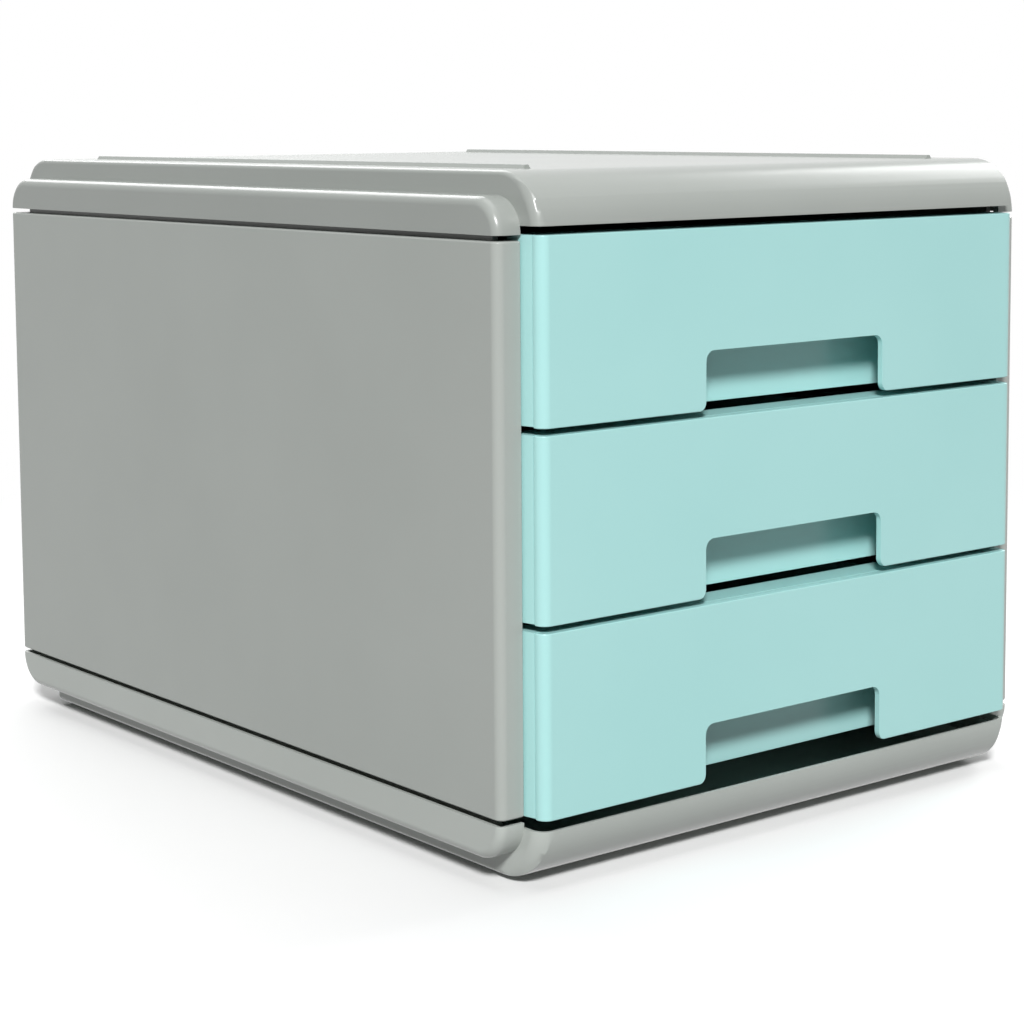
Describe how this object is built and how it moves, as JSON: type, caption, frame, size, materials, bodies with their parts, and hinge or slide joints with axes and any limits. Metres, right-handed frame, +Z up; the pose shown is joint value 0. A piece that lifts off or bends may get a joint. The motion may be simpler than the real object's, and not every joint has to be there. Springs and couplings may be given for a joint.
{
  "type": "desktop file drawer",
  "caption": "Desk unit of moulded plastic with sliding paper drawers, rounded stepped cover and base, and finger cut-outs in the drawer fronts.",
  "frame": {"origin": "middle of the footprint, on the surface that the feet stand on", "axes": "+Z up, +Y from the drawer fronts to the back, +X to the right seen from the front; the drawers slide out along -Y"},
  "size_m": [0.277, 0.3838, 0.2589],
  "materials": {
    "housing": "light warm grey moulded polystyrene, satin gloss",
    "runner": "grey moulded plastic, satin",
    "foot": "dark grey rubber",
    "tray": "turquoise moulded polystyrene, satin gloss",
    "drawer_front": "turquoise moulded polystyrene, satin gloss"
  },
  "bodies": {
    "housing": {"top_cover": "housing", "base": "housing", "back_panel": "housing", "left_side_panel": "housing", "right_side_panel": "housing", "left_runner_bottom": "runner", "left_runner_middle": "runner", "left_runner_top": "runner", "right_runner_bottom": "runner", "right_runner_middle": "runner", "right_runner_top": "runner", "front_left_foot": "foot", "front_right_foot": "foot", "rear_left_foot": "foot", "rear_right_foot": "foot"},
    "bottom_drawer": {"bottom_tray": "tray", "bottom_front": "drawer_front"},
    "middle_drawer": {"middle_tray": "tray", "middle_front": "drawer_front"},
    "top_drawer": {"top_tray": "tray", "top_front": "drawer_front"}
  },
  "joints": [
    {"name": "bottom_drawer_slide", "type": "slide", "parent": "housing", "child": "bottom_drawer", "axis": [0, -1, 0], "range_m": [0, 0.25]},
    {"name": "middle_drawer_slide", "type": "slide", "parent": "housing", "child": "middle_drawer", "axis": [0, -1, 0], "range_m": [0, 0.25]},
    {"name": "top_drawer_slide", "type": "slide", "parent": "housing", "child": "top_drawer", "axis": [0, -1, 0], "range_m": [0, 0.25]}
  ]
}
